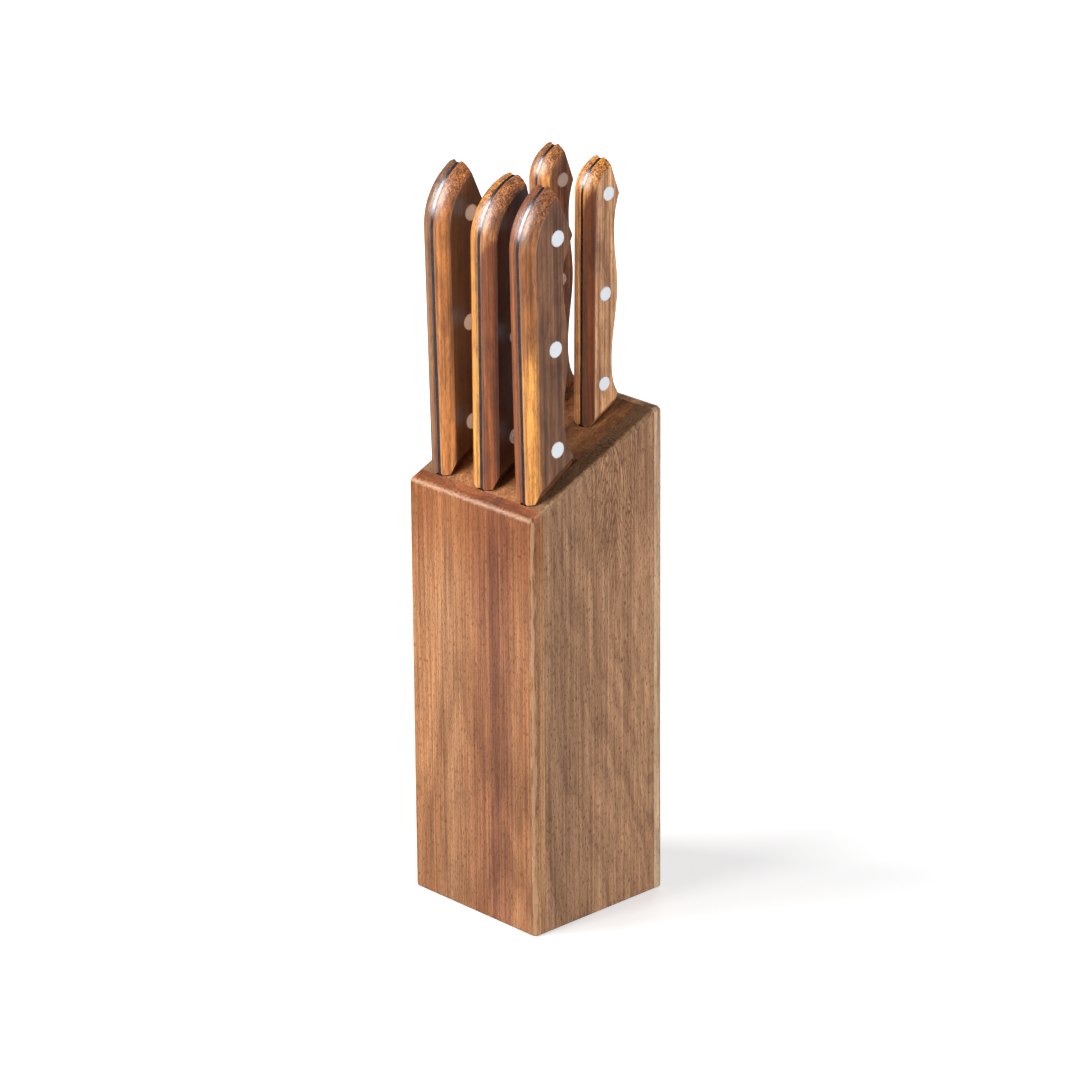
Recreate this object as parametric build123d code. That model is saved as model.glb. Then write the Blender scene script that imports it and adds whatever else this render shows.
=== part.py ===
from build123d import *
import os
from dataclasses import dataclass, replace
from math import atan, degrees, radians, sqrt, tan

# Knife block with five full-tang knives. Millimetres, +Z up.
# X runs to the right along the low front face, Y towards the back.
# The origin is the centre of the block's footprint.

# ---------------------------------------------------------------- block
block_width = 75.0        # along X
block_depth = 75.0        # along Y
front_height = 185.8      # height of the low front face
top_slope = 24.1          # degrees, the top rises towards the back
front_board_thickness = 6.2
back_board_thickness = 5.0
upright_edge_radius = 2.2
top_rim_radius = 2.4
foot_edge_radius = 0.8

# ---------------------------------------------------------------- slots
slot_width = 4.3
slot_pitch = 25.5         # between the three front slots
row_shift = 0.4           # the rows of slots sit this far right of centre
spine_gap = 0.4           # blade's back to the front end of its slot
edge_gap = 1.5            # blade's edge to the rear end of its slot
lean_gap = 0.15           # left each side when a blade leans in its slot
tip_gap = 12.0            # longest blades' tips to the table
seat_gap = 0.4            # handle's lowest corner to the block's top
seat_relief = 5.9         # degrees, the handle's end slopes this much more than the top

# ---------------------------------------------------------------- handles
crown_width = 1.3         # a scale's worn inner edge: its width beside the tang
crown_depth = 0.5         # and how far it falls from the scale's crest
tang_inset = 0.65         # tang below the outline of the handle
rivet_proud = 0.08
rivet_edge = 0.18         # fine chamfer round each end of a rivet

# Directions in which the belly's curve leaves the guard and reaches the beak.
guard_direction = (-0.6, 0.8)
beak_direction = (0.42, 0.91)
lengthwise = (0, 1)

cutter_overlap = 0.5      # how far a cutting solid runs past what it cuts
cutter_reach = 2.0        # how far an edge cutter stands out from the outline
path_lead = 3.0           # straight run added at each end of a cutter's path


@dataclass
class Handle:
    """A handle's outline: v runs from the back to the belly, w up from the seat."""
    thickness: float
    arch: float           # depth of the arched back
    belly_arch: float     # depth of the arch on the belly side
    tang: float
    guard: tuple          # widest point at the foot
    waist: tuple
    belly: tuple
    neck: tuple
    beak: tuple
    butt_start: float     # where the straight back turns into the butt's arc
    butt_radius: float
    butt_turn: float      # degrees turned by that arc
    peak_v: float
    rivet_radius: float
    rivets: tuple         # centres, lowest first
    foot_bevel: tuple     # on the flat, on the end


large = Handle(
    thickness=15.8, arch=3.6, belly_arch=1.5, tang=1.5,
    guard=(23.4, 17.4), waist=(18.4, 36.0), belly=(21.7, 64.4), neck=(19.5, 95.0), beak=(25.7, 111.5),
    butt_start=105.5, butt_radius=30.0, butt_turn=55.0, peak_v=16.5,
    rivet_radius=3.5, rivets=((12.9, 22.3), (13.2, 65.4), (15.8, 111.8)), foot_bevel=(4.0, 2.2))

# The middle knife's handle is worn rounder at the butt.
rounded = replace(
    large, butt_start=105.0, butt_radius=27.0, butt_turn=75.0, peak_v=21.0,
    rivets=((12.9, 22.3), (13.6, 65.4), (16.4, 111.8)))

small = Handle(
    thickness=12.6, arch=2.5, belly_arch=1.1, tang=1.2,
    guard=(16.4, 13.8), waist=(13.2, 28.0), belly=(16.2, 59.0), neck=(14.1, 84.0), beak=(17.0, 98.8),
    butt_start=99.0, butt_radius=15.5, butt_turn=60.0, peak_v=11.2,
    rivet_radius=3.1, rivets=((8.0, 18.1), (8.3, 57.1), (9.8, 99.8)), foot_bevel=(2.0, 1.2))


@dataclass
class Knife:
    """A knife and where it stands."""
    name: str
    handle: Handle
    row: str              # front or back
    place: float          # slot pitches from the middle slot
    blade_length: float   # 0 for the longest that the block holds
    blade_width: float
    point: str            # upswept, square or dropped
    lean_side: float      # share of the room in the slot, + to the right
    lean_front: float     # degrees, the handle tips towards the front
    serrated: bool = False


knives = [
    Knife("bread", large, "front", -1, 0, 28.0, "square", -0.9, 1.0, serrated=True),
    Knife("chef", rounded, "front", 0, 0, 39.6, "upswept", 0.0, 0.0),
    Knife("carving", large, "front", 1, 0, 24.0, "dropped", -0.9, 1.0),
    Knife("utility", small, "back", -0.5, 125.0, 17.2, "dropped", -0.3, 0.0),
    Knife("paring", small, "back", 0.5, 90.0, 16.4, "dropped", 0.8, 0.0),
]

# ---------------------------------------------------------------- blades
edge_bevel = 7.0          # ground bevel along the edge
edge_thickness = 0.2
serration_pitch = 6.0
serration_depth = 1.1
serration_radius = 5.0
heel_drop = 9.0           # blade's heel below the guard
choil_inset = 3.0         # the blade's neck stands this far inside its edge
root_overlap = 1.0        # the blade's root rises this far into the tang
edge_at_tip = (1, 0.25)   # directions of the edge and of the back at the point
back_at_tip = (0.45, -1)

slope = tan(radians(top_slope))
seat_angle = top_slope + seat_relief
core_front = -block_depth / 2 + front_board_thickness
core_back = block_depth / 2 - back_board_thickness


# ---------------------------------------------------------------- places
def top_height(y):
    """Height of the block's sloping top at y."""
    return front_height + (y + block_depth / 2) * slope


def blade_length(knife):
    """The knife's own length, or the longest that stands clear of the table."""
    return knife.blade_length or top_height(core_front) - tip_gap


def slot_length(knife):
    """Along Y: the blade's width, its gaps and the room that its lean takes."""
    lean_run = blade_length(knife) * tan(radians(knife.lean_front))
    return spine_gap + knife.blade_width + lean_run + edge_gap


back_slot_length = max(slot_length(knife) for knife in knives if knife.row == "back")


def slot_x(knife):
    return row_shift + knife.place * slot_pitch


def slot_span(knife):
    """Where a knife's slot starts and ends along Y."""
    if knife.row == "front":
        return core_front, core_front + slot_length(knife)
    return core_back - back_slot_length, core_back


def seat(knife):
    """The handle's lowest corner in the block's frame, and the way the knife leans."""
    y = slot_span(knife)[0] + spine_gap - tang_inset
    room = (slot_width - knife.handle.tang) / 2 - lean_gap
    side_lean = degrees(atan(knife.lean_side * room / blade_length(knife)))
    return Location((slot_x(knife), y, top_height(y) + seat_gap), (knife.lean_front, side_lean, 0))


# ---------------------------------------------------------------- block
def block_envelope():
    """The outside of the block, before it is divided into its boards."""
    half = block_depth / 2
    side = Polyline((-half, 0), (half, 0), (half, top_height(half)), (-half, front_height), close=True)
    body = extrude(Plane.YZ * make_face(side), block_width / 2, both=True)
    body = fillet(body.edges().filter_by(Axis.Z), upright_edge_radius)
    body = fillet(body.faces().sort_by(Axis.Z)[-1].edges(), top_rim_radius)
    return fillet(body.faces().sort_by(Axis.Z)[0].edges(), foot_edge_radius)


def board(envelope, x_span, y_span):
    """The part of the envelope between two x and two y."""
    width = x_span[1] - x_span[0]
    depth = y_span[1] - y_span[0]
    height = 2 * top_height(block_depth)
    blank = Box(width, depth, height)
    return envelope & Pos((x_span[0] + x_span[1]) / 2, (y_span[0] + y_span[1]) / 2, 0) * blank


def block_nodes():
    envelope = block_envelope()
    half_width = block_width / 2
    half_depth = block_depth / 2
    outside = (-half_width, half_width)
    nodes = {
        "front_board": board(envelope, outside, (-half_depth, core_front)),
        "back_board": board(envelope, outside, (core_back, half_depth)),
    }
    plank_names = ["left_side_plank", "left_middle_plank", "left_inner_plank",
                   "right_inner_plank", "right_middle_plank", "right_side_plank"]
    left = -half_width
    for name, knife in zip(plank_names, sorted(knives, key=slot_x)):
        right = slot_x(knife) - slot_width / 2
        nodes[name] = board(envelope, (left, right), (core_front, core_back))
        left = right + slot_width
        start, end = slot_span(knife)
        filled = (end, core_back) if knife.row == "front" else (core_front, start)
        nodes[f"{knife.name}_slot_spacer"] = board(envelope, (right, left), filled)
    nodes[plank_names[-1]] = board(envelope, (left, half_width), (core_front, core_back))
    return nodes


# ---------------------------------------------------------------- handles
def belly_curve(handle, inset=0.0):
    """From the guard's tip over waist, belly and neck to the beak."""
    marks = [handle.guard, handle.waist, handle.belly, handle.neck, handle.beak]
    return Spline(*[(v - inset, w) for v, w in marks],
                  tangents=[guard_direction, lengthwise, lengthwise, lengthwise, beak_direction])


def back_lines(handle, inset=0.0):
    """From the peak down: the straight run, the butt's arc and the straight back."""
    top = 180 - handle.butt_turn
    centre = (handle.butt_radius, handle.butt_start)
    arc = CenterArc(centre, handle.butt_radius - inset, top, handle.butt_turn)
    start = arc @ 0
    peak_v = handle.peak_v - inset / 2
    rise = (peak_v - start.X) / tan(radians(handle.butt_turn))
    run = Line((peak_v, start.Y + rise), start)
    back = Line((inset, handle.butt_start), (inset, inset * tan(radians(seat_angle))))
    return [run, arc, back]


def handle_face(handle, inset=0.0):
    """The handle's outline at the crest of its arch, or that much inside it."""
    back = back_lines(handle, inset)
    belly = belly_curve(handle, inset)
    guard = belly @ 0
    guard_foot = (guard.X, guard.X * tan(radians(seat_angle)))
    lines = back + [Line(back[-1] @ 1, guard_foot), Line(guard_foot, guard),
                    belly, Line(belly @ 1, back[0] @ 0)]
    return make_face(lines)


def arch_depth(handle, arch, x):
    """How far an arched edge falls away at x from the handle's middle."""
    half = handle.thickness / 2
    radius = (half ** 2 + arch ** 2) / (2 * arch)
    return radius - sqrt(radius ** 2 - x ** 2)


def arch_cutter(handle, arch, path):
    """What an arched edge takes off one scale along a path, with the worn edge by the tang."""
    half = handle.thickness / 2
    crest = handle.tang / 2 + crown_width
    middle = (crest + half) / 2
    crest_depth = arch_depth(handle, arch, crest)
    near = handle.tang / 2 - cutter_overlap
    far = half + cutter_overlap
    crown_foot = (near, -crest_depth - crown_depth * (crest - near) / crown_width)
    outline = [
        Line((near, cutter_reach), crown_foot),
        Line(crown_foot, (crest, -crest_depth)),
        ThreePointArc((crest, -crest_depth), (middle, -arch_depth(handle, arch, middle)), (half, -arch)),
        Line((half, -arch), (far, -arch)),
        Line((far, -arch), (far, cutter_reach)),
        Line((far, cutter_reach), (near, cutter_reach)),
    ]
    spine = Plane.YZ * path
    section = Plane(origin=spine @ 0, x_dir=(1, 0, 0), z_dir=spine % 0) * make_face(outline)
    return sweep(section, path=spine)


def lengthened(curve):
    """The curve as a path, with a straight run added at each end."""
    lead = Line(curve @ 0 - (curve % 0) * path_lead, curve @ 0)
    tail = Line(curve @ 1, curve @ 1 + (curve % 1) * path_lead)
    return Wire([*lead.edges(), *curve.edges(), *tail.edges()])


def joined(lines):
    """Lines that meet end to end, as one wire."""
    return Wire([edge for line in lines for edge in line.edges()])


def rivet_pins(handle, length, radius):
    """Cylinders through the handle at its rivets."""
    pin = Rot(0, 90, 0) * Cylinder(radius, length)
    return [Pos(0, v, w) * pin for v, w in handle.rivets]


def right_scale(handle):
    """The scale on the +X side, in the knife's own frame."""
    inner = handle.tang / 2
    half = handle.thickness / 2
    scale = Pos(inner, 0, 0) * extrude(Plane.YZ * handle_face(handle), half - inner)
    on_flat, on_end = handle.foot_bevel
    flat = scale.faces().sort_by(Axis.X)[-1]
    foot = flat.edges().sort_by(lambda edge: (edge @ 0.5).Z)[0]
    scale = chamfer(foot, on_flat, on_end, reference=flat)
    back = joined(back_lines(handle))
    butt_slope = Line(handle.beak, back @ 0)
    guard_edge = Line((handle.guard[0], 0), handle.guard)
    scale -= arch_cutter(handle, handle.arch, lengthened(back))
    for path in (belly_curve(handle), butt_slope, guard_edge):
        scale -= arch_cutter(handle, handle.belly_arch, lengthened(path))
    for pin in rivet_pins(handle, 2 * handle.thickness, handle.rivet_radius):
        scale -= pin
    return scale


# ---------------------------------------------------------------- blades
# Shares of the blade's width and length: the point's place across the blade,
# and where the edge and the back start to curve towards it.
points = {
    "upswept": {"tip": 0.20, "edge_from": 0.42, "back_from": 0.66},
    "square": {"tip": 0.30, "edge_from": 0.90, "back_from": 0.965},
    "dropped": {"tip": 0.34, "edge_from": 0.60, "back_from": 0.58},
}


def blade_edge(knife):
    """The cutting edge, from the point up to the heel."""
    length = blade_length(knife)
    width = tang_inset + knife.blade_width
    point = points[knife.point]
    heel = (width, heel_height(knife))
    start = (width, -point["edge_from"] * length)
    tip = (point["tip"] * width, -length)
    curve = Spline(tip, start, tangents=[edge_at_tip, lengthwise])
    return [curve, Line(start, heel)]


def heel_height(knife):
    """The heel's corner, below the handle's end and inside the block."""
    return knife.handle.guard[0] * tan(radians(seat_angle)) - heel_drop


def blade_face(knife):
    """The blade's outline, with its top inside the handle's outline."""
    length = blade_length(knife)
    point = points[knife.point]
    edge = blade_edge(knife)
    tip = edge[0] @ 0
    heel = edge[-1] @ 1
    back_turn = (tang_inset, -point["back_from"] * length)
    top = handle_root(knife)
    choil = (top[0], heel.Y)
    lines = edge + [Line(heel, choil), Line(choil, top), Line(top, (tang_inset, top[1])),
                    Line((tang_inset, top[1]), back_turn),
                    Spline(back_turn, tip, tangents=[(0, -1), back_at_tip])]
    return make_face(lines)


def handle_root(knife):
    """Where the blade's lower corner meets the handle's end."""
    v = min(knife.handle.guard[0], knife.blade_width) - choil_inset
    return (v, v * tan(radians(seat_angle)) + root_overlap)


def blade(knife):
    """Tang and blade from one blank, ground along the edge, in the knife's own frame."""
    handle = knife.handle
    half = handle.tang / 2
    tang = handle_face(handle, tang_inset)
    blank = extrude(Plane.YZ * (tang + blade_face(knife)), half, both=True)
    path = lengthened(joined(blade_edge(knife)))
    keen = edge_thickness / 2
    far = half + cutter_overlap
    ground = make_face(Polyline((half, -edge_bevel), (keen, 0), (keen, cutter_overlap),
                                (far, cutter_overlap), (far, -edge_bevel), close=True))
    spine = Plane.YZ * path
    section = Plane(origin=spine @ 0, x_dir=(1, 0, 0), z_dir=spine % 0) * ground
    bevel = sweep(section, path=spine)
    blank -= bevel
    blank -= mirror(bevel, Plane.YZ)
    for pin in rivet_pins(handle, handle.thickness, handle.rivet_radius):
        blank -= pin
    if knife.serrated:
        blank -= serrations(knife)
    return blank


def serrations(knife):
    """Cylinders that scallop the straight part of the edge."""
    edge = blade_edge(knife)[1]
    width = tang_inset + knife.blade_width
    low = (edge @ 0).Y
    count = int((edge.length - 2 * serration_pitch) / serration_pitch)
    scallop = Rot(0, 90, 0) * Cylinder(serration_radius, 2 * knife.handle.tang)
    centre = width + serration_radius - serration_depth
    return [Pos(0, centre, low + (index + 0.5) * serration_pitch) * scallop for index in range(count)]


# ---------------------------------------------------------------- knives
def rivets(handle):
    """The rivets as separate solids, with a fine broken edge just proud of the scales."""
    length = handle.thickness + 2 * rivet_proud
    pins = rivet_pins(handle, length, handle.rivet_radius)
    return [chamfer(pin.edges().filter_by(GeomType.CIRCLE), rivet_edge) for pin in pins]


def knife_nodes(knife):
    place = seat(knife)
    scale = right_scale(knife.handle)
    nodes = {
        "blade": blade(knife),
        "right_scale": scale,
        "left_scale": mirror(scale, Plane.YZ),
    }
    placed = {f"{knife.name}_{part}": place * shape for part, shape in nodes.items()}
    placed[f"{knife.name}_rivets"] = Compound(children=[place * pin for pin in rivets(knife.handle)])
    return placed


def all_nodes():
    nodes = block_nodes()
    for knife in knives:
        nodes.update(knife_nodes(knife))
    return nodes


os.makedirs("parts", exist_ok=True)
for node, shape in all_nodes().items():
    export_step(shape, f"parts/{node}.step")
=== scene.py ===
"""A slim wooden knife block with five riveted kitchen knives: finishes, floor, lights and camera."""

from math import cos, radians, sin, tan

import bpy
from mathutils import Matrix, Vector


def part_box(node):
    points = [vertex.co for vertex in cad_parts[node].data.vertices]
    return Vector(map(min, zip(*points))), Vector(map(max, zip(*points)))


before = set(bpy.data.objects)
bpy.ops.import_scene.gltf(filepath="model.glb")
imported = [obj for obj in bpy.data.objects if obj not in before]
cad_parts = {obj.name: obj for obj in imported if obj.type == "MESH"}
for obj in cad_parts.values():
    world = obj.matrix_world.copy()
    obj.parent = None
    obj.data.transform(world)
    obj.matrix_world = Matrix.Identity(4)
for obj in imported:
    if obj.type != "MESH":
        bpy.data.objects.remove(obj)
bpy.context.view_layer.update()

MM = 0.001
KNIVES = ("bread", "chef", "carving", "utility", "paring")


# ---------------------------------------------------------------- a small bench for laying out finishes

def srgb(red, green, blue):
    """A colour given on a 0 to 255 card, as the linear colour a shader takes."""
    linear = []
    for channel in (red, green, blue):
        value = channel / 255
        linear.append(value / 12.92 if value <= 0.04045 else ((value + 0.055) / 1.055) ** 2.4)
    return (*linear, 1.0)


class Finish:
    """One material being laid out, node by node."""

    def __init__(self, name):
        self.material = bpy.data.materials.new(name)
        self.material.use_nodes = True
        self.tree = self.material.node_tree
        self.shader = self.tree.nodes["Principled BSDF"]
        self.place = self.node("ShaderNodeTexCoord").outputs["Object"]

    def node(self, kind, **settings):
        made = self.tree.nodes.new(kind)
        for key, value in settings.items():
            setattr(made, key, value)
        return made

    def feed(self, socket, value):
        """Sets a socket to a number or colour, or links it to another node's output."""
        if isinstance(value, bpy.types.NodeSocket):
            self.tree.links.new(value, socket)
        else:
            socket.default_value = value

    def sum(self, operation, *values):
        made = self.node("ShaderNodeMath", operation=operation)
        for socket, value in zip(made.inputs, values):
            self.feed(socket, value)
        return made.outputs[0]

    def scaled(self, place, scale, shift=(0, 0, 0), turn=(0, 0, 0)):
        """A place moved, turned and stretched: more scale means finer grain that way."""
        made = self.node("ShaderNodeMapping", vector_type="POINT")
        self.feed(made.inputs["Vector"], place)
        made.inputs["Location"].default_value = shift
        made.inputs["Rotation"].default_value = [radians(angle) for angle in turn]
        made.inputs["Scale"].default_value = scale
        return made.outputs[0]

    def noise(self, place, detail=2.0, roughness=0.5, distortion=0.0):
        made = self.node("ShaderNodeTexNoise")
        self.feed(made.inputs["Vector"], place)
        made.inputs["Scale"].default_value = 1.0
        made.inputs["Detail"].default_value = detail
        made.inputs["Roughness"].default_value = roughness
        made.inputs["Distortion"].default_value = distortion
        return made.outputs["Fac"]

    def line_noise(self, value, detail=2.0, roughness=0.5):
        """Noise along one line, the same all over each growth ring."""
        made = self.node("ShaderNodeTexNoise", noise_dimensions="1D")
        self.feed(made.inputs["W"], value)
        made.inputs["Scale"].default_value = 1.0
        made.inputs["Detail"].default_value = detail
        made.inputs["Roughness"].default_value = roughness
        return made.outputs["Fac"]

    def step(self, value, low, high, out_low=0.0, out_high=1.0):
        """Rises smoothly from out_low at low to out_high at high."""
        made = self.node("ShaderNodeMapRange", interpolation_type="SMOOTHSTEP")
        self.feed(made.inputs["Value"], value)
        made.inputs["From Min"].default_value = low
        made.inputs["From Max"].default_value = high
        made.inputs["To Min"].default_value = out_low
        made.inputs["To Max"].default_value = out_high
        return made.outputs["Result"]

    def ramp(self, value, stops):
        made = self.node("ShaderNodeValToRGB")
        ends = made.color_ramp.elements
        while len(ends) < len(stops):
            ends.new(0.5)
        for stop, (position, colour) in zip(ends, stops):
            stop.position = position
            stop.color = colour
        self.feed(made.inputs["Fac"], value)
        return made.outputs["Color"]

    def mix(self, amount, first, second, blend="MIX"):
        made = self.node("ShaderNodeMix", data_type="RGBA", blend_type=blend)
        self.feed(made.inputs["Factor"], amount)
        self.feed(made.inputs[6], first)
        self.feed(made.inputs[7], second)
        return made.outputs[2]

    def tinted(self, colour, amount, tint):
        """The colour stained by a tint: 0 leaves it alone, 1 multiplies it in full."""
        return self.mix(amount, colour, tint, "MULTIPLY")

    def figured(self, colour, amount, pattern, steps):
        """The colour stained by the steps that a pattern runs through."""
        return self.tinted(colour, amount, self.ramp(pattern, steps))

    def squared(self, value):
        return self.sum("MULTIPLY", value, value)

    def axes(self, place):
        made = self.node("ShaderNodeSeparateXYZ")
        self.feed(made.inputs[0], place)
        return made.outputs

    def soft_edge(self, radius):
        """The surface direction with every sharp edge eased over that radius."""
        made = self.node("ShaderNodeBevel", samples=4)
        made.inputs["Radius"].default_value = radius
        return made.outputs[0]

    def facing(self):
        return self.node("ShaderNodeNewGeometry").outputs["Normal"]

    def dot(self, first, second):
        made = self.node("ShaderNodeVectorMath", operation="DOT_PRODUCT")
        self.feed(made.inputs[0], first)
        self.feed(made.inputs[1], second)
        return made.outputs["Value"]

    def bump(self, height, depth, strength=1.0, normal=None):
        made = self.node("ShaderNodeBump")
        made.inputs["Strength"].default_value = strength
        made.inputs["Distance"].default_value = depth
        self.feed(made.inputs["Height"], height)
        if normal is not None:
            self.feed(made.inputs["Normal"], normal)
        return made.outputs[0]


# ---------------------------------------------------------------- wood

FRONT_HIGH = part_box("front_board")[1]
HALF = FRONT_HIGH.x                  # half the block's width and depth
SLOPE = tan(radians(24.1))           # the top climbs this much towards the back
MIDDLE_HEIGHT = FRONT_HIGH.z - FRONT_HIGH.y * SLOPE
CORNER_WEAR = 1.7 * MM               # wear reaches this far in from an upright corner
# the pale band along the rim is wear and a painted highlight on the rounded rim
RIM_WEAR_AND_HIGHLIGHT = 1.9 * MM                  # and this far in from the rim
FULL_WEAR_AND_HIGHLIGHT = 0.9 * MM                 # it is complete within this of the edge
RAGGEDNESS = 4.0 * MM                # how far its border strays


def below_top(finish):
    """How far a spot lies below the block's sloping top."""
    spot = finish.axes(finish.place)
    level = finish.sum("MULTIPLY_ADD", spot[1], SLOPE, MIDDLE_HEIGHT)
    return finish.sum("SUBTRACT", level, spot[2])


def block_wear_and_rim_highlight(finish):
    """Where hands rub the block: along its top rim and down its upright corners. Along the rim the pale
    band is also a painted highlight on the rounded edge.
    """
    spot = finish.axes(finish.place)
    out_x = finish.sum("ABSOLUTE", spot[0])
    out_y = finish.sum("ABSOLUTE", spot[1])
    ragged = finish.noise(finish.scaled(finish.place, (700, 700, 90), (8, 3, 5)), 3, 0.6)
    shake = finish.sum("MULTIPLY", finish.sum("SUBTRACT", ragged, 0.5), RAGGEDNESS)
    nearest = finish.sum("ADD", finish.sum("MINIMUM", out_x, out_y), shake)
    corner = finish.step(nearest, HALF - CORNER_WEAR, HALF - FULL_WEAR_AND_HIGHLIGHT)
    furthest = finish.sum("ADD", finish.sum("MAXIMUM", out_x, out_y), shake)
    deep = finish.sum("ADD", below_top(finish), finish.sum("MULTIPLY", shake, -0.7))
    # along the rim: wear, and a painted highlight where the rounded edge catches the light
    rim = finish.sum("MULTIPLY", finish.step(furthest, HALF - RIM_WEAR_AND_HIGHLIGHT, HALF - FULL_WEAR_AND_HIGHLIGHT),
                     finish.step(deep, 0.4 * MM, 1.6 * MM, 0.6, 0.0))
    return finish.sum("MAXIMUM", corner, rim)


def handle_wear(finish):
    """Where a handle's crisp edges have gone pale."""
    bent = finish.dot(finish.soft_edge(0.7 * MM), finish.facing())
    patchy = finish.noise(finish.scaled(finish.place, (260, 260, 70), (8, 3, 5)), 3)
    return finish.sum("MULTIPLY", finish.step(bent, 0.78, 0.98, 1.0, 0.0),
                      finish.step(patchy, 0.42, 0.62, 0.1, 0.9))


# The steps that each figure in the wood runs through, from its darkest to its lightest.
RING_STEPS = [(0.32, (0.5, 0.4, 0.34, 1)), (0.46, (0.88, 0.84, 0.8, 1)),
              (0.6, (1.1, 1.08, 1.05, 1)), (0.74, (1.3, 1.28, 1.22, 1))]
FINE_RING_STEPS = [(0.3, (0.5, 0.42, 0.38, 1)), (0.5, (0.98, 0.97, 0.96, 1)), (0.72, (1.3, 1.28, 1.22, 1))]
STREAK_STEPS = [(0.37, (0.4, 0.29, 0.23, 1)), (0.46, (0.82, 0.77, 0.72, 1)),
                (0.54, (1.12, 1.1, 1.06, 1)), (0.63, (1.5, 1.46, 1.34, 1))]
CLOUD_STEPS = [(0.32, (0.6, 0.5, 0.42, 1)), (0.5, (1, 1, 1, 1)), (0.7, (1.3, 1.26, 1.18, 1))]
FIBRE_STEPS = [(0.3, (0.6, 0.54, 0.5, 1)), (0.5, (1, 1, 1, 1)), (0.7, (1.32, 1.3, 1.26, 1))]
SPECK_STEPS = [(0.38, (0.24, 0.18, 0.14, 1)), (0.5, (0.85, 0.84, 0.83, 1)), (0.62, (1.9, 1.95, 1.95, 1))]
PORE_TINT = (0.45, 0.34, 0.27, 1)
FIBRE_DEPTH = 0.6
GRAIN_RELIEF = 0.12 * MM


def growth(finish, wood, heart, lean, ring):
    """How the trunk wavers as it grows, its broad rings and its fine ones."""
    # the trunk wanders a little, so its rings and streaks do too
    wander = finish.sum("SUBTRACT", finish.noise(finish.scaled(wood, (28, 28, 6)), 2), 0.5)
    waver = finish.sum("SUBTRACT", finish.noise(finish.scaled(wood, (60, 60, 14), (3, 7, 1)), 2), 0.5)
    trunk = finish.scaled(wood, (1, 1, 1), (-heart[0] * MM, -heart[1] * MM, 0), (lean[0], lean[1], 0))
    across = finish.axes(trunk)
    radius = finish.sum("SQRT", finish.sum("ADD", finish.squared(across[0]), finish.squared(across[1])))
    radius = finish.sum("MULTIPLY_ADD", wander, 12 * MM, radius)
    radius = finish.sum("MULTIPLY_ADD", waver, 4 * MM, radius)
    rings = finish.line_noise(finish.sum("DIVIDE", radius, ring * MM), 3, 0.55)
    fine_rings = finish.line_noise(finish.sum("DIVIDE", radius, ring * 0.2 * MM), 2, 0.6)
    return waver, rings, fine_rings


def banded(finish, bands, waver, middle, span):
    """Broad bands of colour across the piece, running the whole height of it."""
    along = finish.sum("MULTIPLY_ADD", waver, 8 * MM, finish.axes(finish.place)[0])
    along = finish.sum("MULTIPLY_ADD", finish.sum("SUBTRACT", along, middle), 0.5 / span, 0.5)
    return finish.ramp(along, [(at, srgb(*tone)) for at, tone in bands])


def oiled(finish, pore, fibres, end_specks, speckle, ease, roughness, coat):
    """Open pores and raised fibres under a thin oil finish."""
    height = finish.sum("MULTIPLY_ADD", pore, -0.9, finish.sum("MULTIPLY", fibres, 0.7))
    height = finish.sum("MULTIPLY_ADD", end_specks, speckle * 1.5, height)
    eased = finish.soft_edge(ease * MM) if ease else None
    finish.feed(finish.shader.inputs["Normal"], finish.bump(height, GRAIN_RELIEF, 0.8, eased))
    rough = finish.sum("MULTIPLY_ADD", finish.sum("SUBTRACT", fibres, 0.5), 0.35, roughness)
    finish.feed(finish.shader.inputs["Roughness"], finish.sum("MULTIPLY_ADD", pore, 0.15, rough))
    finish.shader.inputs["Coat Weight"].default_value = coat
    finish.shader.inputs["Coat Roughness"].default_value = 0.33
    finish.shader.inputs["Coat IOR"].default_value = 1.65


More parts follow.
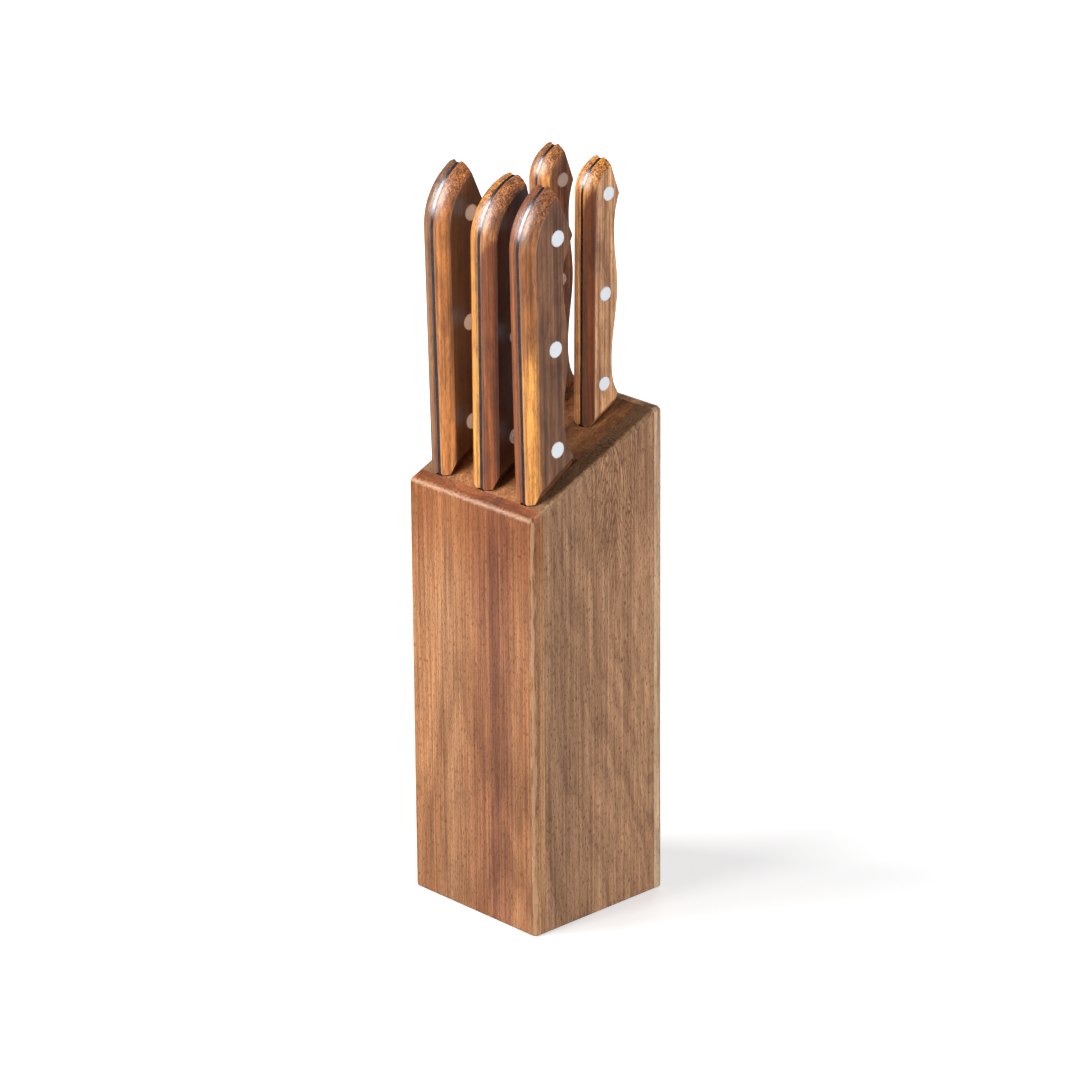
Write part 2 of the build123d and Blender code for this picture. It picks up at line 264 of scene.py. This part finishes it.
def acacia(name, bands, heart, lean=(0, 0), ring=5.0, shift=(0, 0, 0), ring_depth=0.4, streak_depth=0.5,
           streak_width=2.4, pore_depth=0.6, mottle=0.3, end_tone=(0.8, 0.66, 0.55), speckle=0.2,
           wear_and_highlight=None, wear_and_highlight_depth=0.5, wear_and_highlight_tone=(214, 170, 130), roughness=0.5, coat=0.0,
           middle=0.0, span=HALF, ease=0.0, skin=None):
    """Oiled acacia with its grain up Z. bands are colours across the piece, heart is the middle of the
    trunk's rings in mm, lean tips the trunk in degrees, ring, streak_width and ease are in mm."""
    finish = Finish(name)
    wood = finish.scaled(finish.place, (1, 1, 1), [v * MM for v in shift])
    waver, rings, fine_rings = growth(finish, wood, heart, lean, ring)
    colour = banded(finish, bands, waver, middle, span)
    if skin is not None:
        colour = skin(finish, colour)
    # rings, streaks, mottling, fibres and pores make it darker and lighter
    colour = finish.figured(colour, ring_depth, rings, RING_STEPS)
    colour = finish.figured(colour, ring_depth * 0.8, fine_rings, FINE_RING_STEPS)
    fine = 1 / (streak_width * MM)
    streaks = finish.noise(finish.scaled(wood, (fine, fine, 9), (1, 2, 3)), 4, 0.62, 0.4)
    colour = finish.figured(colour, streak_depth, streaks, STREAK_STEPS)
    clouds = finish.noise(finish.scaled(wood, (150, 150, 55), (7, 4, 2)), 3, 0.6, 0.8)
    colour = finish.figured(colour, mottle, clouds, CLOUD_STEPS)
    fibres = finish.noise(finish.scaled(wood, (950, 950, 30), (5, 1, 2)), 4, 0.7)
    colour = finish.figured(colour, FIBRE_DEPTH, fibres, FIBRE_STEPS)
    pores = finish.noise(finish.scaled(wood, (2400, 2400, 400), (4, 9, 6)), 2, 0.55)
    pore = finish.step(pores, 0.55, 0.66)
    colour = finish.tinted(colour, finish.sum("MULTIPLY", pore, pore_depth), PORE_TINT)
    # end grain drinks more oil, and its open pores speckle it
    upright = finish.sum("ABSOLUTE", finish.axes(finish.facing())[2])
    end_grain = finish.step(upright, 0.12, 0.6)
    specks = finish.noise(finish.scaled(wood, (1900, 1900, 1300), (2, 8, 4)), 2, 0.6)
    soaked = finish.figured(finish.tinted(colour, 1.0, (*end_tone, 1)), speckle, specks, SPECK_STEPS)
    colour = finish.mix(end_grain, colour, soaked)
    # pale edges: real wear, and along the block's rim a painted highlight too
    if wear_and_highlight is not None:
        colour = finish.mix(finish.sum("MULTIPLY", wear_and_highlight(finish), wear_and_highlight_depth), colour, srgb(*wear_and_highlight_tone))
    finish.feed(finish.shader.inputs["Base Color"], colour)
    end_specks = finish.sum("MULTIPLY", specks, end_grain)
    oiled(finish, pore, fibres, end_specks, speckle, ease, roughness, coat)
    return finish.material


def dress(node, material):
    """Gives a part of the model its finish."""
    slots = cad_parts[node].data.materials
    slots.clear()
    slots.append(material)


# Colours across a board, from its left edge at 0 to its right edge at 1.
FRONT_BANDS = [(0.0, (168, 117, 79)), (0.2, (176, 125, 87)), (0.32, (190, 142, 104)),
               (0.42, (185, 134, 96)), (0.52, (178, 125, 88)), (0.6, (162, 110, 80)),
               (0.64, (176, 121, 85)), (0.67, (136, 88, 67)), (0.705, (145, 95, 71)),
               (0.74, (170, 117, 84)), (0.79, (156, 105, 77)), (0.86, (181, 130, 92)),
               (0.93, (171, 118, 82)), (1.0, (190, 142, 102))]
SIDE_BANDS = [(0.0, (164, 124, 94)), (1.0, (164, 124, 94))]
CORE_BANDS = [(0.0, (188, 128, 84)), (1.0, (188, 128, 84))]
CORE_END_TONE = (0.74, 0.75, 0.66)
BACK_BANDS = [(0.0, (222, 188, 154)), (0.5, (226, 194, 160)), (1.0, (224, 190, 156))]
ARCH_MIDDLE = 10 * MM                # the side's arched figure stands this far behind the middle
ARCH_BOW = 380.0                     # how fast its lines fall away
ARCHES_PER_METRE = 105.0


def sunk_top(finish, colour):
    """The front board has drunk more oil near its upper end."""
    dark = finish.step(below_top(finish), 4 * MM, 55 * MM, 1.0, 0.0)
    return finish.tinted(colour, dark, (0.8, 0.62, 0.45, 1))


def paler_behind(finish, colour):
    """The side's wood grows paler towards the back, with one broad arched figure high up."""
    spot = finish.axes(finish.place)
    pale = finish.step(spot[1], -20 * MM, 8 * MM)
    colour = finish.tinted(colour, pale, (1.22, 1.21, 1.19, 1))
    wavy = finish.noise(finish.scaled(finish.place, (120, 120, 30), (5, 2, 8)), 3, 0.6)
    off_middle = finish.sum("ABSOLUTE", finish.sum("SUBTRACT", spot[1], ARCH_MIDDLE))
    aside = finish.sum("MULTIPLY_ADD", wavy, 10 * MM, off_middle)
    drop = finish.sum("MULTIPLY", finish.squared(aside), ARCH_BOW)
    arch = finish.sum("FRACT", finish.sum("MULTIPLY", finish.sum("ADD", spot[2], drop), ARCHES_PER_METRE))
    line = finish.sum("MULTIPLY", finish.step(arch, 0.0, 0.18), finish.step(arch, 0.18, 0.6, 1.0, 0.0))
    fade = finish.sum("MULTIPLY", finish.step(below_top(finish), 25 * MM, 75 * MM, 1.0, 0.0),
                      finish.step(aside, 16 * MM, 24 * MM, 1.0, 0.0))
    return finish.tinted(colour, finish.sum("MULTIPLY", line, fade), (0.45, 0.36, 0.3, 1))


def block_finishes():
    dress("front_board", acacia("front_board_acacia", FRONT_BANDS, (20, 160), (1.5, 0.8), 6,
                                wear_and_highlight=block_wear_and_rim_highlight, streak_width=0.8, roughness=0.45, ring_depth=0.42,
                                pore_depth=0.8, skin=sunk_top))
    dress("back_board", acacia("back_board_sapwood", BACK_BANDS, (-30, 190), (1.0, -0.5), 7, (40, 5, 90),
                               wear_and_highlight=block_wear_and_rim_highlight, streak_depth=0.35, wear_and_highlight_tone=(222, 196, 165)))
    planks = ("left_side_plank", "left_middle_plank", "left_inner_plank",
              "right_inner_plank", "right_middle_plank", "right_side_plank")
    for count, plank in enumerate(planks):
        outer = plank.endswith("side_plank")
        bands = SIDE_BANDS if outer else CORE_BANDS
        dress(plank, acacia(plank + "_acacia", bands, (140 - 40 * count, 30), (0.5, 3.2), 6,
                            (31 * count, 17 * count, 57 * count), streak_width=1.8, streak_depth=0.45,
                            pore_depth=0.9, roughness=0.55, end_tone=CORE_END_TONE,
                            wear_and_highlight=block_wear_and_rim_highlight if outer else None,
                            skin=paler_behind if outer else None))
    for count, knife in enumerate(KNIVES):
        dress(knife + "_slot_spacer", acacia(knife + "_spacer_acacia", CORE_BANDS, (60, 90), (0, 1), 5,
                                             (13 * count, 71, 29 * count), end_tone=CORE_END_TONE))


# The tone of every handle scale, and of the saw cut along a right-hand scale's flat outer face. The paring
# knife's right scale tone is painted shadow from the handles in front of it, and the bread and chef knives'
# flat tones are partly painted shade from the handles beside them.
HANDLE_TONES_AND_SHADE = {
    ("bread", "left"): (150, 100, 60), ("bread", "right"): (196, 126, 62),
    ("chef", "left"): (228, 160, 74), ("chef", "right"): (140, 76, 32),
    ("carving", "left"): (152, 84, 32), ("carving", "right"): (158, 100, 48),
    ("utility", "left"): (190, 126, 64), ("utility", "right"): (200, 138, 78),
    # the paring knife's right scale tone is the dark of a painted shadow cast by the handles in front
    ("paring", "left"): (250, 174, 92), ("paring", "right"): (116, 60, 24),
}
# the bread and chef flat tones are partly painted shade from the handles beside them
FLAT_TONES_AND_SHADE = {"bread": (86, 50, 30), "chef": (74, 40, 22), "carving": (132, 90, 64),
              "utility": (166, 120, 88), "paring": (214, 162, 120)}
GOLDEN = (226, 158, 78)
# Where a right-hand scale turns to another tone: between two heights in mm, and the tone. On the carving
# knife this is a slanting figure in the wood; on the paring knife the darker tone below the line is painted
# shadow from the handles in front, and on the chef's knife the lighter butt is partly painted highlight.
TONE_TURNS_AND_PAINTED_LIGHT = {"carving": (212, 192, GOLDEN), "paring": (276, 290, GOLDEN), "chef": (294, 302, (196, 132, 78))}


def outer_face(tone, turn=None):
    """The saw cut along a handle's flat outer face lays open wood of another tone; on the bread and chef
    knives that tone is partly painted shade from the handles beside them.
    turn gives two heights in mm and a tone: from the first height to the second the scale turns
    to that tone, along a slanting line: a grain figure on the carving knife, the edge of a painted shadow
    on the paring knife and a partly painted highlight on the chef's knife."""
    def skin(finish, colour):
        if turn:
            # a grain figure on the carving knife, a painted shadow's edge on the paring knife, partly
            # painted highlight on the chef's knife
            base_end, turned_end, turned = turn
            spot = finish.axes(finish.place)
            wavy = finish.noise(finish.scaled(finish.place, (160, 160, 60), (3, 1, 4)), 3, 0.6)
            slant = finish.sum("MULTIPLY_ADD", spot[0], -2.2, spot[2])
            slant = finish.sum("MULTIPLY_ADD", wavy, 30 * MM, slant)
            falling = base_end > turned_end
            share = finish.step(slant, min(base_end, turned_end) * MM, max(base_end, turned_end) * MM,
                                float(falling), float(not falling))
            colour = finish.mix(share, colour, srgb(*turned))
        # the flat outer face's tone, on the bread and chef knives partly painted shade
        sideways = finish.axes(finish.facing())[0]
        return finish.mix(finish.step(sideways, 0.62, 0.8), colour, srgb(*tone))
    return skin


def handle_finishes():
    for count, ((knife, side), tone) in enumerate(HANDLE_TONES_AND_SHADE.items(), start=1):
        low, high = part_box(f"{knife}_{side}_scale")
        skin = outer_face(FLAT_TONES_AND_SHADE[knife], TONE_TURNS_AND_PAINTED_LIGHT.get(knife)) if side == "right" else None
        material = acacia(f"{knife}_{side}_scale_acacia", [(0.0, tone), (1.0, tone)], (70 - 23 * count, 60),
                          (2, 2.5), 4, (37 * count, 11 * count, 23 * count), roughness=0.36, coat=0.9,
                          ring_depth=0.5, streak_depth=0.8, streak_width=1.3, mottle=0.75,
                          end_tone=(0.74, 0.66, 0.58), speckle=1.0, middle=(low.x + high.x) / 2,
                          span=(high.x - low.x) / 2, ease=0.3, wear_and_highlight=handle_wear, skin=skin)
        dress(f"{knife}_{side}_scale", material)


# ---------------------------------------------------------------- metal

def knife_steel():
    """Satin stainless blades, ground crosswise. The tang's edges above the block are dark and smooth: their
    dark colour is a painted reflection of dark surroundings.
    """
    finish = Finish("blade_satin_steel")
    ground = finish.noise(finish.scaled(finish.place, (900, 60, 5200)), 3, 0.7)
    bright = finish.ramp(ground, [(0.3, (0.5, 0.51, 0.53, 1)), (0.7, (0.68, 0.69, 0.71, 1))])
    # above the block the steel's colour is painted dark, a mottled painted reflection of dark surroundings
    tang = finish.step(below_top(finish), 1.0 * MM, 3.0 * MM, 1.0, 0.0)
    painted_reflection_mottle = finish.noise(finish.scaled(finish.place, (400, 400, 300)), 3, 0.6)
    dark = finish.ramp(painted_reflection_mottle, [(0.3, (0.07, 0.08, 0.1, 1)), (0.7, (0.13, 0.145, 0.17, 1))])
    finish.feed(finish.shader.inputs["Base Color"], finish.mix(tang, bright, dark))
    finish.feed(finish.shader.inputs["Metallic"], finish.sum("MULTIPLY_ADD", tang, 0.35, 0.65))
    finish.feed(finish.shader.inputs["Roughness"], finish.step(ground, 0.2, 0.8, 0.2, 0.36))
    finish.feed(finish.shader.inputs["Normal"], finish.bump(ground, 0.008 * MM, 0.5))
    return finish.material


def rivet_aluminium():
    """Flush aluminium pins, sanded with the handle and lightly scratched, with a painted dark ring of shade
    round each pin's edge.
    """
    finish = Finish("rivet_aluminium")
    scuffs = finish.noise(finish.scaled(finish.place, (3000, 3000, 600)), 3, 0.7)
    tone = finish.ramp(scuffs, [(0.3, (0.93, 0.96, 1.0, 1)), (0.7, (0.98, 0.99, 1.0, 1))])
    # painted shade: a dark ring round each pin's edge, where it meets the wood
    turned = finish.dot(finish.soft_edge(0.45 * MM), finish.facing())
    tone = finish.mix(finish.step(turned, 0.8, 0.985, 0.85, 0.0), tone, srgb(70, 60, 56))
    finish.feed(finish.shader.inputs["Base Color"], tone)
    finish.shader.inputs["Metallic"].default_value = 0.2
    finish.feed(finish.shader.inputs["Roughness"], finish.step(scuffs, 0.2, 0.8, 0.38, 0.55))
    eased = finish.soft_edge(0.2 * MM)
    finish.feed(finish.shader.inputs["Normal"], finish.bump(scuffs, 0.01 * MM, 0.4, eased))
    return finish.material


def metal_finishes():
    steel = knife_steel()
    aluminium = rivet_aluminium()
    for knife in KNIVES:
        dress(knife + "_blade", steel)
        dress(knife + "_rivets", aluminium)


# ---------------------------------------------------------------- floor, lights and camera

def pale_floor():
    """A white sweep that the lights and a glow of its own, seen only by the lens and weaker close to the
    block, burn out to plain white, and that throws little light back up.
    """
    bpy.ops.object.select_all(action="DESELECT")
    bpy.ops.mesh.primitive_plane_add(size=12, location=(0, 0, -0.1 * MM))
    floor = bpy.context.object
    floor.name = "pale_floor"
    finish = Finish("pale_floor")
    finish.shader.inputs["Roughness"].default_value = 0.9
    finish.shader.inputs["Specular IOR Level"].default_value = 0.0
    finish.shader.inputs["Emission Color"].default_value = (1, 1, 1, 1)
    seen = finish.node("ShaderNodeLightPath").outputs["Is Camera Ray"]
    finish.feed(finish.shader.inputs["Base Color"],
                finish.mix(seen, (0.22, 0.22, 0.22, 1), (0.7, 0.7, 0.7, 1)))
    away = finish.node("ShaderNodeVectorMath", operation="LENGTH")
    finish.feed(away.inputs[0], finish.place)
    # the floor's own glow, seen only by the lens, weaker near the block
    glow = finish.step(away.outputs["Value"], 0.12, 0.5, 0.5, 1.0)
    finish.feed(finish.shader.inputs["Emission Strength"], finish.sum("MULTIPLY", glow, seen))
    floor.data.materials.append(finish.material)


# name, direction from the block, distance in metres, width and height, watts, tint
SOFTBOXES = [
    ("key", (-0.12, -0.86, 0.5), 1.6, (0.3, 1.0), 12, (1, 0.985, 0.96)),
    ("bridge", (-0.4, -0.74, 0.5), 1.6, (0.45, 0.8), 12.5, (1, 0.985, 0.96)),
    ("sheen", (-0.7, -0.56, 0.42), 1.6, (0.55, 1.0), 23, (1, 0.99, 0.97)),
    ("fill", (0.97, -0.1, 0.12), 1.8, (0.8, 0.8), 25, (0.94, 0.97, 1)),
    ("rear_fill", (-0.6, 0.8, 0.14), 1.8, (0.9, 0.9), 14, (1, 1, 1)),
]
AIM = Vector((0, 0, 0.18))           # the softboxes face this spot in the block
DIM_AIR = 0.17                       # what the surroundings give to everything but the lens


def softbox(name, toward, distance, size, power, tint):
    """An area light that hangs in that direction from the block and faces it."""
    lamp = bpy.data.lights.new(name, "AREA")
    lamp.shape = "RECTANGLE"
    lamp.size, lamp.size_y = size
    lamp.energy = power
    lamp.color = tint
    holder = bpy.data.objects.new(name, lamp)
    bpy.context.scene.collection.objects.link(holder)
    direction = Vector(toward).normalized()
    holder.location = AIM + direction * distance
    holder.rotation_euler = direction.to_track_quat("Z", "Y").to_euler()


def studio():
    """Tall boxes from the front round to the left, a broad fill on the right, and a low one behind."""
    world = bpy.data.worlds.new("studio")
    bpy.context.scene.world = world
    world.use_nodes = True
    air = world.node_tree
    seen = air.nodes.new("ShaderNodeLightPath").outputs["Is Camera Ray"]
    strength = air.nodes.new("ShaderNodeMapRange")
    strength.inputs["To Min"].default_value = DIM_AIR
    strength.inputs["To Max"].default_value = 1.0
    air.links.new(seen, strength.inputs["Value"])
    air.links.new(strength.outputs["Result"], air.nodes["Background"].inputs["Strength"])
    air.nodes["Background"].inputs["Color"].default_value = (0.98, 0.99, 1, 1)
    for box in SOFTBOXES:
        softbox(*box)
    bpy.context.scene.view_settings.view_transform = "Standard"


def camera():
    """Stands off the front right corner, a little above the knives, with a long lens."""
    turn, height, tip = radians(46.699), radians(20.683), radians(-0.455)
    back = Vector((sin(turn) * cos(height), -cos(turn) * cos(height), sin(height)))
    level = Vector((cos(turn), sin(turn), 0))
    rise = back.cross(level)
    right = level * cos(tip) + rise * sin(tip)
    up = rise * cos(tip) - level * sin(tip)
    lens = bpy.data.cameras.new("camera")
    lens.lens = 167.5
    lens.sensor_width = 36
    lens.clip_end = 50
    holder = bpy.data.objects.new("camera", lens)
    bpy.context.scene.collection.objects.link(holder)
    pose = Matrix((right, up, back)).transposed().to_4x4()
    pose.translation = Vector((1.4312, -1.3464, 0.9000))
    holder.matrix_world = pose
    bpy.context.scene.camera = holder


block_finishes()
handle_finishes()
metal_finishes()
pale_floor()
studio()
camera()
